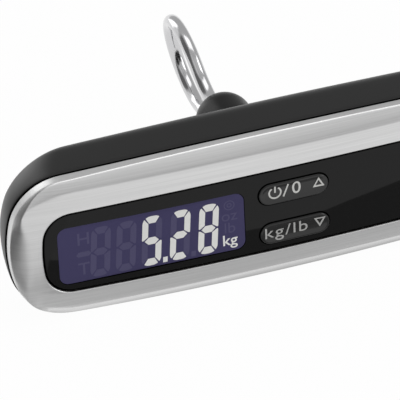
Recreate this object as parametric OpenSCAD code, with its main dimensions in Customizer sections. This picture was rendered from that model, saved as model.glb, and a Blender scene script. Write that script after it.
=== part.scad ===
// Digital luggage scale: a black grip body with a brushed steel front, a gloss black
// window with a display and two buttons, and a swivelling wire hook behind it.
// X runs along the grip, Z is up the display, and -Y is the way the front faces.
// The origin is the middle of the grip on the load axis, which is the Y axis.
// Depths count back from the middle of the front, and at_grip moves them to the origin.

/* [Front plate] */
// Length of the steel front over its ends
plate_len = 135.4; // [130:0.2:142]
// Height of the steel front at its middle
plate_h = 40.5; // [39:0.1:42.5]
// Radius of the barrelled long sides
side_r = 1190; // [1000:10:2000]
// Radius of the rounded corners
corner_r = 14; // [13:0.2:15]
// Radius of the bowed ends
end_r = 36; // [32:0.5:40]
// Radius of the bow of the whole grip along its length
bow_r = 1000; // [900:10:1500]
// Thickness of the steel sheet
sheet_t = 1; // [0.8:0.1:1.2]
// Drop of the steel from the window to the crease
border_drop = 1.08; // [0.8:0.02:1.3]
// Width of the bevelled facet along each long side
facet_w = 3.5; // [3:0.1:4]
// Drop of the facet
facet_drop = 2.5; // [2:0.1:3]
// Width of the roll along the edge of the ends
roll_w = 4.5; // [4:0.1:5]
// Drop of the roll along the edge of the ends
roll_drop = 2.8; // [2.4:0.1:2.9]
// Height of the upright skirt below the facet
skirt_h = 1.8; // [1.6:0.1:2.2]
// Width of the groove between the skirt and the shell
groove_w = 0.4; // [0.3:0.05:0.5]

/* [Window] */
// Width of the steel past each end of the window
window_border = 7.25; // [6.9:0.05:8.5]
// Height of the window opening
window_h = 23.2; // [22:0.2:24]
// Radius of the window's long sides
window_side_r = 4000; // [2000:100:6000]
// Radius of the window's corners
window_corner_r = 7.2; // [5.6:0.2:8]
// Radius of the window's ends
window_end_r = 40; // [30:1:60]
// Gap between the black panel and the steel
window_gap = 0.5; // [0.4:0.05:0.6]
// How far the black panel lies below the steel
window_recess = 0.35; // [0.2:0.05:0.5]
// Width of the panel's flange behind the steel
flange_w = 1.6; // [1.2:0.1:2]
// Thickness of the panel's flange
flange_t = 0.85; // [0.7:0.05:1]

/* [Display] */
// Length of the visible display
lcd_len = 47; // [44:0.5:49]
// Height of the visible display
lcd_h = 16.3; // [15:0.1:17]
// Distance of the display's middle from the left end of the window
lcd_from_end = 27.25; // [26:0.05:29]
// Place of the display's middle up the grip
lcd_z = -1; // [-1.2:0.1:0]
// Corner radius of the visible display
lcd_corner_r = 2.4; // [1.5:0.1:3]
// Thickness of each of the display's two glasses
glass_t = 1.1; // [0.9:0.05:1.2]
// Ledge of the rear glass above and below the front glass
glass_ledge = 1.6; // [1.2:0.1:1.8]
// Thickness of the light guide behind the display
backlight_t = 1.2; // [1:0.1:1.3]

/* [Buttons] */
// Length of a button
button_len = 18.2; // [16:0.2:19]
// Height of a button
button_h = 6.2; // [5.6:0.1:6.6]
// Gap between the display and the buttons
button_space = 3.5; // [2.3:0.2:5.3]
// Place of the upper button up the grip
power_z = 4.8; // [4.4:0.1:5.2]
// Place of the lower button up the grip
set_z = -6.5; // [-6.8:0.1:-5.6]
// How far a button stands proud of the panel
button_proud = 0.5; // [0.3:0.05:0.8]
// How far a button travels
button_travel = 0.6; // [0.3:0.05:0.6]
// Height of a switch on the board
switch_h = 2.3; // [2:0.1:2.4]

/* [Shell] */
// How far the shell stands outside the steel front
shell_margin = 0.3; // [0.2:0.1:0.5]
// Depth of the shell's straight wall behind its rim
wall_depth = 9.1; // [8.7:0.1:9.5]
// Depth of the rounding from the wall to the flat back
back_depth = 7.9; // [7.5:0.1:8.3]
// How far the rounding draws the back in
back_inset = 7.5; // [7:0.1:8]
// How far each end of the shell draws in on the way to the back
end_taper = 5; // [4:0.5:6]
// How much more the ends draw in towards their top and bottom
end_round = 1.5; // [1.2:0.1:1.8]
// Thickness of the shell
shell_t = 2; // [1.8:0.1:2.2]

/* [Circuit] */
// Reach of the circuit board past the load axis
board_reach = 30; // [29:0.5:32]
// Height of the circuit board
board_h = 25; // [24:0.5:26]
// Thickness of the circuit board
board_t = 1.2; // [1:0.1:1.2]
// Depth of the board's front face behind the window plane
board_d = 6.7; // [6.7:0.1:6.9]

/* [Load cell] */
// Length of the load cell bar
cell_len = 50; // [48:1:54]
// Height of the load cell bar
cell_h = 12; // [10:0.5:13]
// Thickness of the load cell bar
cell_t = 6; // [5:0.1:6.2]
// Diameter of the bores that thin the bar
cell_bore = 4.4; // [3.6:0.1:4.6]

/* [Battery] */
// Diameter of the coin cell
coin_dia = 20; // [19:0.1:20.4]
// Thickness of the coin cell
coin_t = 3.2; // [2.4:0.1:3.3]
// Distance of the coin cell's middle from the left end of the steel front
coin_from_end = 30.2; // [29.2:0.2:31.2]
// Diameter of the turning door
door_dia = 24; // [23.6:0.1:24.2]

/* [Hook] */
// Diameter of the hook's wire
wire_dia = 3.5; // [3:0.1:4]
// Radius of the hook's bowl at the middle of the wire
bowl_r = 12; // [11:0.1:13]
// Radius of the bend from the shank into the bowl
bend_r = 12; // [10:0.1:14]
// Depth at which the shank starts to bend
bend_d = 50.6; // [50.4:0.1:52.8]
// Length of the straight wire between two bends
straight_len = 2; // [1:0.1:3]
// How far the bowl goes on past its lowest point
tip_turn = 10; // [5:1:15]
// Radius of the outward curl at the tip
curl_r = 5; // [4:0.1:6]
// Angle of the outward curl at the tip
curl_turn = 40; // [30:1:50]
// Diameter of the ball on the hook's tip
tip_dia = 4.2; // [4.1:0.1:5]
// How far the hook is drawn turned on its swivel
hook_turn = 10; // [0:1:15]
// Diameter of the round cap at the hook's root
cap_dia = 14.6; // [13.6:0.1:15]
// Depth of the middle of the cap's round end
cap_d = 42.9; // [41.8:0.1:43]
// Depth of the joint between the collar and the cap
swivel_d = 34.2; // [32.8:0.1:34.8]
// Diameter of the stem that turns in the body
stem_dia = 5; // [4.6:0.1:5.2]

/* [Hidden] */
$fn = 64;

// Clearances
sliding_gap = 0.15;
running_gap = 0.05;
seat_gap = 0.05;
overlap = 1;
post_gap = 0.5;

// Steps of the outline along a corner, an end and a long side
corner_steps = 9;
end_steps = 4;
side_steps = 8;

// Places along the grip, counted from its left end
window_len = plate_len - 2 * window_border;
lcd_x = lcd_from_end - window_len / 2;
button_x = lcd_x + lcd_len / 2 + button_space + button_len / 2;
coin_x = coin_from_end - plate_len / 2;

// Depths of the front, measured at the middle of the grip
plate_half_h = plate_h / 2;
crease_z = plate_half_h - facet_w;
flat_z = window_h / 2;
facet_slope = facet_drop / facet_w;
roll_steps = 4;
skirt_end_d = border_drop + facet_drop + skirt_h;
flange_d = sheet_t + border_drop * flange_w / (crease_z - flat_z) + seat_gap;
panel_back_d = flange_d + flange_t;
gasket_t = 0.4;
gasket_out = 1.4;
gasket_in = 0.2;
frame_d = panel_back_d + gasket_t + seat_gap;
frame_t = 1.5;
frame_back_d = frame_d + frame_t;
frame_gap = 4.6;

// The shell's depths and outline, with a lip that stands inside the skirt
rim_d = skirt_end_d + groove_w;
lip_h = 1.6;
lip_t = 1.3;
lip_d = rim_d - lip_h;
wall_end_d = rim_d + wall_depth;
back_d = wall_end_d + back_depth;
floor_d = back_d - shell_t;
grip_mid_d = back_d / 2;
deep = back_d;
lip_inset = shell_margin + sheet_t + sliding_gap;
inner_inset = lip_inset + lip_t;
floor_step = 0.2;
floor_inset = back_inset + floor_step;
inner_turn = 50;
inner_share = 0.6;
round_steps = 5;

// The display follows the bow at its own place
lcd_tilt = asin(lcd_x / bow_r);
lcd_gap = 0.1;
lcd_d = sag(lcd_x) + window_recess + lcd_len * lcd_len / 8 / bow_r + lcd_gap;
lcd_clear = 0.1;
glass_end = 1;
rear_glass_d = panel_back_d - window_recess + sliding_gap;
display_back = rear_glass_d + glass_t + backlight_t;
pocket_gap = 0.1;
strip_w = 1.6;
strip_gap = 0.2;
strip_inset = 2;
backlight_h = lcd_h - 2 * strip_w;

// Buttons, from the proud face back to the end of the plunger
button_face_d = window_recess - button_proud;
button_clear = 0.3;
button_flange_d = panel_back_d + button_clear;
button_flange_t = 0.5;
button_flange_w = 0.7;
plunger_dia = 3;
switch_top_d = board_d - switch_h;
plunger_end_d = switch_top_d - button_travel - seat_gap;
switch_w = 5;
switch_cap_h = 0.8;

// Board, load cell and stem, one behind the other
board_back_d = board_d + board_t;
board_past = 1.5;
board_x0 = lcd_x - lcd_len / 2 - board_past;
chip_from_coin = 21;
chip_x = coin_x + chip_from_coin;
chip_dia = 9;
chip_top_dia = 6;
chip_t = 1.4;
nut_t = 2.1;
nut_gap = 0.45;
nut_d = board_back_d + nut_gap;
nut_dia = 9.2;
washer_t = 1;
washer_d = nut_d + nut_t + seat_gap;
washer_dia = 10;
cell_d = washer_d + washer_t;
cell_x0 = -7;
cell_back_d = cell_d + cell_t;
flex_x = [15, 22];
anchor_x = [31, 38];
anchor_dia = 3;
anchor_head_dia = 5.4;
anchor_head_t = 1.6;
anchor_pad_dia = 5;
anchor_bite = 0.5;
thread_dia = 2.3;
cell_slot = 1.2;
stem_gap = 0.3;
gauge_t = 0.2;
gauge_len = 3.6;
gauge_w = 6;
ribbon_x = [25, 27.8];
ribbon_t = 0.4;
ribbon_w = 4;

// Battery
tray_t = 1;
tray_wall = 0.9;
coin_gap = 0.25;
coin_back_gap = 0.5;
coin_d = floor_d - coin_t - coin_back_gap;
coin_step_t = 0.9;
coin_step_w = 1.5;
contact_t = 0.3;
contact_w = 2.4;
leg_z = -6.2;
spring_z = 4;
tray_d = coin_d - tray_t - contact_t - seat_gap;
door_step_t = 1.2;
door_land = 1.5;
seal_w = 1;
door_neck_dia = door_dia - 2 * door_land;
plug_dia = door_neck_dia - 2 * seal_w;
slot_w = 2;
slot_len = 14;
slot_depth = 0.6;

// Housing screws
screw_from_end = 21.7;
screw_x = plate_len / 2 - screw_from_end;
screw_z = 12.4;
screw_dia = 2.2;
screw_head_dia = 4.2;
screw_head_t = 1.4;
head_sunk = 0.6;
head_d = back_d - head_sunk - screw_head_t;
screw_reach = 9;
post_dia = 3.8;
pad_dia = 6;
pad_t = 3.5;
pad_sunk = 0.2;
cross_len = 2.6;
cross_w = 0.6;

// Swivel: collar, bush, stem and cap
collar_base_dia = 21;
collar_base_t = 1.4;
collar_step_w = 2;
collar_step_t = 0.8;
collar_foot_t = 4.4;
collar_taper = 0.4;
edge_t = 1;
edge_w = 0.3;
spigot_dia = 15.8;
bush_dia = 8;
cap_gap = 0.3;
collar_end_d = swivel_d - cap_gap;
stem_flange_dia = 10;
stem_flange_t = 2;

// Hook: the turn of its first bend puts the bowl's middle on the load axis
blend_grow = 0.04;
hook_radii = bend_r + bowl_r;
bend_turn = acos(bend_r / norm([hook_radii, straight_len])) - atan2(straight_len, hook_radii);
bowl_d = bend_d + hook_radii * sin(bend_turn) + straight_len * cos(bend_turn);

// Depth that the bow adds at a place along the grip
function sag(x) = bow_r - sqrt(bow_r * bow_r - x * x);

function arc(cx, cz, r, from, to, steps) =
    [for (i = [0 : steps - 1]) let (a = from + (to - from) * i / steps) [cx + r * cos(a), cz + r * sin(a)]];

// Middle of the corner arc that is tangent to a long side and to an end
function corner_middle(half_len, half_h, side, corner, end) =
    let (
        side_mid = [0, half_h - side],
        end_mid = [half_len - end, 0],
        reach = norm(end_mid - side_mid),
        unit = (end_mid - side_mid) / reach,
        near = side - corner,
        far = end - corner,
        along = (near * near - far * far + reach * reach) / (2 * reach),
        across = sqrt(near * near - along * along)
    )
    side_mid + along * unit + across * [unit[1], -unit[0]];

// Closed outline of tangent arcs: two ends, two long sides and four corners
function barrel(half_len, half_h, side, corner, end) =
    let (
        mid = corner_middle(half_len, half_h, side, corner, end),
        side_z = half_h - side,
        end_x = half_len - end,
        s = atan2(mid[0], mid[1] - side_z),
        e = atan2(mid[1], mid[0] - end_x)
    )
    concat(
        arc(end_x, 0, end, -e, e, end_steps),
        arc(mid[0], mid[1], corner, e, 90 - s, corner_steps),
        arc(0, side_z, side, 90 - s, 90 + s, side_steps),
        arc(-mid[0], mid[1], corner, 90 + s, 180 - e, corner_steps),
        arc(-end_x, 0, end, 180 - e, 180 + e, end_steps),
        arc(-mid[0], -mid[1], corner, 180 + e, 270 - s, corner_steps),
        arc(0, -side_z, side, 270 - s, 270 + s, side_steps),
        arc(mid[0], -mid[1], corner, 270 + s, 360 - e, corner_steps)
    );

function plate_outline(inset) =
    barrel(plate_len / 2 - inset, plate_half_h - inset, side_r - inset, corner_r - inset, end_r - inset);

// Ring of the outline at an inset, at one depth or following the bow
function flat_ring(inset, depth) = [for (p = plate_outline(inset)) [p[0], depth, p[1]]];
function bowed_ring(inset, depth) = [for (p = plate_outline(inset)) [p[0], depth + sag(p[0]), p[1]]];

// Drop of the roll at a distance from the outline
function roll(way) = roll_drop * pow(1 - way / roll_w, 2);

function window_outline(inset) =
    barrel(window_len / 2 - inset, window_h / 2 - inset, window_side_r - inset,
        window_corner_r - inset, window_end_r - inset);

// Depths count from the front, and the origin is the middle of the grip
module at_grip() {
    translate([0, -grip_mid_d, 0])
        children();
}

// Straight bar of the given outline along Y
module bar(outline, from, to) {
    translate([0, to, 0])
        rotate([90, 0, 0])
            linear_extrude(to - from)
                polygon(outline);
}

// Things turned about an axis along Y, starting at a depth
module turned(x, z, from) {
    translate([x, from, z])
        rotate([-90, 0, 0])
            children();
}

module rod(x, z, from, to, dia) {
    turned(x, z, from)
        cylinder(d = dia, h = to - from);
}

module block(x0, x1, d0, d1, z0, z1) {
    translate([x0, d0, z0])
        cube([x1 - x0, d1 - d0, z1 - z0]);
}

// Section through the grip, given as depth and height, swept along the bow
module bowed(section) {
    reach = asin((plate_len / 2 + overlap) / bow_r);
    translate([0, bow_r, 0])
        rotate([0, 0, -90 - reach])
            rotate_extrude(angle = 2 * reach, $fn = 360)
                polygon([for (p = section) [bow_r - p[0], p[1]]]);
}

// Sheet between two depths that follows the bow
module bowed_sheet(from, to) {
    z = plate_half_h + overlap;
    bowed([[from, -z], [from, z], [to, z], [to, -z]]);
}

// The cambered front, moved back by a depth, down to a back depth
module bowed_front(moved, back) {
    z = plate_half_h + overlap;
    edge = border_drop + facet_slope * (facet_w + overlap);
    bowed([[back, -z], [moved + edge, -z], [moved + border_drop, -crease_z], [moved, -flat_z],
        [moved, flat_z], [moved + border_drop, crease_z], [moved + edge, z], [back, z]]);
}

// The outline with its rolled edge, inset and moved back by a depth
module rolled_front(inset, moved) {
    loft(concat(
        [flat_ring(inset + roll_w, -overlap)],
        [for (i = [0 : roll_steps]) let (way = roll_w * (1 - i / roll_steps))
            bowed_ring(inset + way, moved + roll(way))],
        [flat_ring(inset, deep)]
    ));
}

// Long shape with half round ends, along Y
module stadium(len, h, from, to) {
    half = (len - h) / 2;
    rod(-half, 0, from, to, h);
    rod(half, 0, from, to, h);
    block(-half, half, from, to, -h / 2, h / 2);
}

// Rectangle with round corners, along Y
module round_block(len, h, r, from, to) {
    for (x = [r - len / 2, len / 2 - r], z = [r - h / 2, h / 2 - r])
        rod(x, z, from, to, 2 * r);
    block(-len / 2 + r, len / 2 - r, from, to, -h / 2, h / 2);
    block(-len / 2, len / 2, from, to, -h / 2 + r, h / 2 - r);
}

// Frame of the display: its own X and Y axes follow the bow
module at_display() {
    translate([lcd_x, lcd_d, lcd_z])
        rotate([0, 0, lcd_tilt])
            children();
}

module at_button(z) {
    translate([button_x, 0, z])
        children();
}

module at_housing_screws() {
    for (x = [-screw_x, screw_x], z = [-screw_z, screw_z])
        translate([x, 0, z])
            children();
}

// Hex nut shape along Y
module hexagon(dia, from, to) {
    turned(0, 0, from)
        cylinder(d = dia, h = to - from, $fn = 6);
}

module front_plate() {
    color("silver") at_grip()
        difference() {
            intersection() {
                bowed_front(0, skirt_end_d);
                rolled_front(0, 0);
            }
            intersection() {
                bowed_front(sheet_t, skirt_end_d + overlap);
                rolled_front(sheet_t, sheet_t);
            }
            bar(window_outline(0), -overlap, deep);
        }
}

module window_panel() {
    color([0.02, 0.02, 0.02]) at_grip()
        difference() {
            union() {
                intersection() {
                    bowed_sheet(window_recess, panel_back_d);
                    bar(window_outline(window_gap), -overlap, deep);
                }
                intersection() {
                    bowed_sheet(flange_d, panel_back_d);
                    bar(window_outline(-flange_w), -overlap, deep);
                }
            }
            at_display()
                round_block(lcd_len, lcd_h, lcd_corner_r, -deep, deep);
            for (z = [power_z, set_z])
                at_button(z)
                    stadium(button_len + 2 * sliding_gap, button_h + 2 * sliding_gap, -overlap, deep);
        }
}

module window_gasket() {
    color("dimgray") at_grip()
        difference() {
            intersection() {
                bowed_sheet(panel_back_d, frame_d);
                bar(window_outline(-gasket_out), -overlap, deep);
            }
            bar(window_outline(gasket_in), -overlap, deep + overlap);
        }
}

// Black carrier behind the panel, with the posts that take the housing screws
module inner_frame() {
    pocket_x = lcd_len / 2 + pocket_gap;
    pocket_z = lcd_h / 2 + glass_ledge + pocket_gap;
    around = 2 * (button_flange_w + button_clear);
    color([0.1, 0.1, 0.1]) at_grip()
        difference() {
            union() {
                intersection() {
                    bowed_sheet(frame_d, frame_back_d);
                    bar(plate_outline(frame_gap), 0, deep);
                }
                at_housing_screws()
                    rod(0, 0, frame_d + frame_t / 2 + sag(screw_x), floor_d - pad_t - sliding_gap, post_dia);
            }
            at_display()
                block(-pocket_x, pocket_x, -deep, deep, -pocket_z, pocket_z);
            for (z = [power_z, set_z])
                at_button(z)
                    stadium(button_len + around, button_h + around, 0, deep);
            at_housing_screws()
                rod(0, 0, floor_d - screw_reach - overlap, floor_d, screw_dia + 2 * running_gap);
        }
}

// Two glasses: the front one fills the panel's opening, the rear one carries the contacts
module lcd_cell() {
    long = lcd_len - 2 * lcd_clear;
    high = lcd_h - 2 * lcd_clear;
    rear_x = lcd_len / 2 - glass_end;
    rear_z = lcd_h / 2 + glass_ledge;
    color("slateblue") at_grip()
        at_display() {
            round_block(long, high, lcd_corner_r, 0, rear_glass_d);
            block(-rear_x, rear_x, rear_glass_d, rear_glass_d + glass_t, -rear_z, rear_z);
        }
}

module backlight_panel() {
    half_len = lcd_len / 2 - glass_end;
    half_h = backlight_h / 2;
    color("white") at_grip()
        at_display()
            block(-half_len, half_len, rear_glass_d + glass_t, display_back, -half_h, half_h);
}

// Rubber strips that carry the display's signals to the board
module contact_strips() {
    reach = lcd_len / 2 - strip_inset;
    off = backlight_h / 2 + strip_gap + strip_w / 2;
    color("pink") at_grip()
        difference() {
            for (z = [lcd_z - off, lcd_z + off])
                translate([lcd_x, 0, z])
                    block(-reach, reach, 0, board_d, -strip_w / 2, strip_w / 2);
            at_display()
                block(-lcd_len, lcd_len, -deep, rear_glass_d + glass_t, -lcd_h, lcd_h);
        }
}

module button(z) {
    color([0.22, 0.22, 0.22]) at_grip()
        at_button(z) {
            stadium(button_len, button_h, button_face_d, button_flange_d + button_flange_t);
            stadium(button_len + 2 * button_flange_w, button_h + 2 * button_flange_w,
                button_flange_d, button_flange_d + button_flange_t);
            rod(0, 0, button_flange_d, plunger_end_d, plunger_dia);
        }
}

module power_button() {
    button(power_z);
}

module set_button() {
    button(set_z);
}

module tact_switch(z) {
    half = switch_w / 2;
    color("darkslategray") at_grip()
        at_button(z) {
            block(-half, half, switch_top_d + switch_cap_h, board_d, -half, half);
            rod(0, 0, switch_top_d, board_d, plunger_dia);
        }
}

module power_switch() {
    tact_switch(power_z);
}

module set_switch() {
    tact_switch(set_z);
}

module circuit_board() {
    color("darkgreen") at_grip()
        difference() {
            block(board_x0, board_reach, board_d, board_back_d, -board_h / 2, board_h / 2);
            at_housing_screws()
                rod(0, 0, board_d - overlap, board_back_d + overlap, post_dia + 2 * post_gap);
        }
}

module controller_chip() {
    color("black") at_grip()
        turned(chip_x, 0, board_back_d)
            cylinder(d1 = chip_dia, d2 = chip_top_dia, h = chip_t);
}

// Flat lead from the gauges on the bar to the back of the board
module sensor_ribbon() {
    color("gold") at_grip() {
        block(ribbon_x[0], ribbon_x[1], cell_d - ribbon_t, cell_d, -ribbon_w / 2, ribbon_w / 2);
        block(ribbon_x[1] - ribbon_t, ribbon_x[1], board_back_d, cell_d, -ribbon_w / 2, ribbon_w / 2);
    }
}

// Share of its length that the shell keeps at a depth and a height
function narrowed(depth, z) =
    let (
        way = max(0, depth - rim_d) / (back_d - rim_d),
        out = z / plate_half_h
    )
    1 - end_taper / (plate_len / 2) * way * way * (1 + end_round * out * out);

// One ring of points round the shell at an inset and a depth, with a share of the bow
function shell_ring(inset, depth, share) =
    [for (p = plate_outline(inset - shell_margin))
        [narrowed(depth, p[1]) * p[0], depth + share * sag(p[0]), p[1]]];

function shell_rings() = concat(
    [
        shell_ring(floor_inset, floor_d, 0),
        shell_ring(inner_inset + (floor_inset - inner_inset) * (1 - cos(inner_turn)),
            wall_end_d + (floor_d - wall_end_d) * sin(inner_turn), inner_share),
        shell_ring(inner_inset, wall_end_d, 1),
        shell_ring(inner_inset, lip_d, 1),
        shell_ring(lip_inset, lip_d, 1),
        shell_ring(lip_inset, rim_d, 1),
        shell_ring(0, rim_d, 1)
    ],
    [for (i = [0 : round_steps]) let (a = 90 * i / round_steps)
        shell_ring(back_inset * (1 - cos(a)), wall_end_d + back_depth * sin(a), cos(a) * cos(a))]
);

// Closed solid through a stack of rings, capped at both ends
module loft(rings) {
    n = len(rings[0]);
    last = len(rings) - 1;
    walls = [for (k = [0 : last - 1], i = [0 : n - 1]) let (j = (i + 1) % n)
        each [[k * n + i, k * n + j, (k + 1) * n + j], [k * n + i, (k + 1) * n + j, (k + 1) * n + i]]];
    first_cap = [for (i = [n - 1 : -1 : 0]) i];
    last_cap = [for (i = [0 : n - 1]) last * n + i];
    polyhedron([for (ring = rings) each ring], concat(walls, [first_cap, last_cap]));
}

module rear_shell() {
    color([0.15, 0.15, 0.15]) at_grip()
        difference() {
            union() {
                loft(shell_rings());
                at_housing_screws()
                    rod(0, 0, floor_d - pad_t, floor_d + pad_sunk, pad_dia);
                for (x = anchor_x)
                    rod(x, 0, cell_back_d, floor_d + pad_sunk, anchor_pad_dia);
            }
            rod(0, 0, floor_d - overlap, back_d + overlap, spigot_dia + 2 * running_gap);
            rod(coin_x, 0, floor_d - overlap, back_d + overlap, door_neck_dia);
            rod(coin_x, 0, back_d - door_step_t, back_d + overlap, door_dia + 2 * sliding_gap);
            at_housing_screws() {
                rod(0, 0, floor_d - pad_t - overlap, back_d + overlap, screw_dia + 2 * running_gap);
                rod(0, 0, head_d, back_d + overlap, screw_head_dia + 2 * sliding_gap);
            }
            for (x = anchor_x)
                rod(x, 0, cell_back_d - overlap, floor_d + anchor_bite + seat_gap,
                    thread_dia + 2 * running_gap);
        }
}

module housing_screws() {
    color("gray") at_grip()
        at_housing_screws()
            difference() {
                union() {
                    rod(0, 0, floor_d - screw_reach, head_d, screw_dia);
                    rod(0, 0, head_d, head_d + screw_head_t, screw_head_dia);
                }
                for (turn = [0, 90])
                    rotate([0, turn, 0])
                        block(-cross_len / 2, cross_len / 2, head_d + screw_head_t / 2, back_d,
                            -cross_w / 2, cross_w / 2);
            }
}

module load_cell() {
    mid_d = cell_d + cell_t / 2;
    color("lightgray") at_grip()
        difference() {
            block(cell_x0, cell_x0 + cell_len, cell_d, cell_back_d, -cell_h / 2, cell_h / 2);
            for (x = flex_x)
                translate([x, mid_d, -cell_h])
                    cylinder(d = cell_bore, h = 2 * cell_h);
            block(flex_x[0], flex_x[1], mid_d - cell_slot / 2, mid_d + cell_slot / 2, -cell_h, cell_h);
            rod(0, 0, cell_d - overlap, cell_back_d + overlap, stem_dia + 2 * stem_gap);
            for (x = anchor_x)
                rod(x, 0, cell_d - overlap, cell_back_d + overlap, anchor_dia + 2 * running_gap);
        }
}

module load_cell_screws() {
    color("gray") at_grip()
        for (x = anchor_x) {
            rod(x, 0, cell_d - anchor_head_t, cell_d, anchor_head_dia);
            rod(x, 0, cell_d, cell_back_d, anchor_dia);
            rod(x, 0, cell_back_d, floor_d + anchor_bite, thread_dia);
        }
}

module strain_gauges() {
    color("orange") at_grip()
        for (x = flex_x) {
            block(x - gauge_len / 2, x + gauge_len / 2, cell_d - gauge_t, cell_d, -gauge_w / 2, gauge_w / 2);
            block(x - gauge_len / 2, x + gauge_len / 2, cell_back_d, cell_back_d + gauge_t,
                -gauge_w / 2, gauge_w / 2);
        }
}

// Neck that carries the swivel, standing on the flat back
module neck_collar() {
    bore_r = bush_dia / 2 + running_gap;
    base_r = collar_base_dia / 2;
    neck_r = cap_dia / 2;
    color([0.15, 0.15, 0.15]) at_grip()
        turned(0, 0, 0)
            rotate_extrude()
                polygon([[bore_r, floor_d], [spigot_dia / 2, floor_d], [spigot_dia / 2, back_d],
                    [base_r, back_d], [base_r, back_d + collar_base_t],
                    [base_r - collar_step_w, back_d + collar_base_t + collar_step_t],
                    [neck_r + collar_taper, back_d + collar_foot_t], [neck_r, collar_end_d - edge_t],
                    [neck_r - edge_w, collar_end_d], [bore_r, collar_end_d]]);
}

module stem_bush() {
    color("ivory") at_grip()
        difference() {
            rod(0, 0, floor_d, collar_end_d, bush_dia);
            rod(0, 0, floor_d - overlap, collar_end_d + overlap, stem_dia + 2 * running_gap);
        }
}

module thrust_washer() {
    color("goldenrod") at_grip()
        difference() {
            rod(0, 0, washer_d, cell_d, washer_dia);
            rod(0, 0, washer_d - overlap, cell_d + overlap, stem_dia + 2 * running_gap);
        }
}

module stem_nut() {
    color("gray") at_grip()
        difference() {
            hexagon(nut_dia, nut_d, nut_d + nut_t);
            rod(0, 0, nut_d - overlap, nut_d + nut_t + overlap, stem_dia + 2 * running_gap);
        }
}

module hook_stem() {
    color("gray") at_grip() {
        rod(0, 0, nut_d, swivel_d + seat_gap, stem_dia);
        rod(0, 0, swivel_d + seat_gap, swivel_d + seat_gap + stem_flange_t, stem_flange_dia);
    }
}

module hook_cap() {
    pocket_end_d = swivel_d + stem_flange_t + 2 * seat_gap;
    color([0.13, 0.13, 0.13]) at_grip()
        difference() {
            union() {
                rod(0, 0, swivel_d, cap_d, cap_dia);
                translate([0, cap_d, 0])
                    rotate([90, 0, 0])
                        sphere(d = cap_dia);
            }
            rod(0, 0, swivel_d - cap_dia, swivel_d, 2 * cap_dia);
            rod(0, 0, swivel_d - overlap, pocket_end_d, stem_flange_dia + 2 * running_gap);
            rod(0, 0, swivel_d, cap_d + cap_dia, wire_dia + 2 * running_gap);
        }
}

// Piece of a ring of wire in the plane of the hook, from one angle to another.
// Angle 0 is at the bottom of the ring and 90 at its far side.
module wire_arc(mid_d, mid_z, r, from, to) {
    translate([0, mid_d, mid_z])
        rotate([0, 90, 0])
            rotate([0, 0, from])
                rotate_extrude(angle = to - from)
                    translate([r, 0])
                        circle(d = wire_dia);
}

// Straight piece of wire in the plane of the hook, rising from a place at an angle.
// A ball a hair larger than the wire blends it into the bend at each end.
module wire_link(d, z, rise) {
    translate([0, d, z])
        rotate([rise - 90, 0, 0]) {
            cylinder(d = wire_dia, h = straight_len);
            for (end = [0, straight_len])
                translate([0, 0, end])
                    sphere(d = wire_dia + blend_grow);
        }
}

module hook() {
    tip_d = bowl_d - bowl_r * sin(tip_turn);
    tip_z = -bowl_r * cos(tip_turn);
    curl_d = tip_d - straight_len * cos(tip_turn) - curl_r * sin(tip_turn);
    curl_z = tip_z + straight_len * sin(tip_turn) - curl_r * cos(tip_turn);
    tip_angle = 180 - tip_turn + curl_turn;
    color("gainsboro") at_grip()
        rotate([0, -hook_turn, 0]) {
            rod(0, 0, swivel_d + stem_flange_t + seat_gap, bend_d, wire_dia);
            wire_arc(bend_d, bend_r, bend_r, 0, bend_turn);
            wire_link(bend_d + bend_r * sin(bend_turn), bend_r * (1 - cos(bend_turn)), bend_turn);
            wire_arc(bowl_d, 0, bowl_r, -tip_turn, 180 + bend_turn);
            wire_link(tip_d, tip_z, 180 - tip_turn);
            wire_arc(curl_d, curl_z, curl_r, 180 - tip_turn, tip_angle);
            translate([0, curl_d + curl_r * sin(tip_angle), curl_z - curl_r * cos(tip_angle)])
                sphere(d = tip_dia);
        }
}

module battery_tray() {
    outer = coin_dia + 2 * coin_gap + 2 * tray_wall;
    slit_w = contact_w + 2 * sliding_gap;
    color("dimgray") at_grip()
        difference() {
            rod(coin_x, 0, tray_d, floor_d, outer);
            rod(coin_x, 0, tray_d + tray_t, floor_d + overlap, coin_dia + 2 * coin_gap);
            block(coin_x - slit_w / 2, coin_x + slit_w / 2, tray_d - overlap, tray_d + tray_t + overlap,
                leg_z - sliding_gap, leg_z + contact_t + sliding_gap);
            block(coin_x, coin_x + outer, tray_d - overlap, floor_d + overlap, -slit_w / 2, slit_w / 2);
        }
}

module coin_cell() {
    color("silver") at_grip() {
        rod(coin_x, 0, coin_d, coin_d + coin_step_t, coin_dia - 2 * coin_step_w);
        rod(coin_x, 0, coin_d + coin_step_t, coin_d + coin_t, coin_dia);
    }
}

// Strip beside the cell that runs to the board
module positive_contact() {
    x0 = coin_x + coin_dia / 2;
    color("khaki") at_grip()
        block(x0, x0 + contact_t, board_back_d, coin_d + coin_t, -contact_w / 2, contact_w / 2);
}

// Strip under the cell with a leg to the board
module negative_contact() {
    x0 = coin_x - contact_w / 2;
    x1 = coin_x + contact_w / 2;
    color("khaki") at_grip() {
        block(x0, x1, coin_d - contact_t, coin_d, leg_z, spring_z);
        block(x0, x1, board_back_d, coin_d, leg_z, leg_z + contact_t);
    }
}

// Round door with a slot for a coin
module battery_door() {
    color([0.15, 0.15, 0.15]) at_grip()
        difference() {
            union() {
                rod(coin_x, 0, back_d - door_step_t + seat_gap, back_d, door_dia);
                rod(coin_x, 0, floor_d + seat_gap, back_d - door_step_t + seat_gap, plug_dia);
            }
            block(coin_x - slot_len / 2, coin_x + slot_len / 2, back_d - slot_depth, back_d + overlap,
                -slot_w / 2, slot_w / 2);
        }
}

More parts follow.
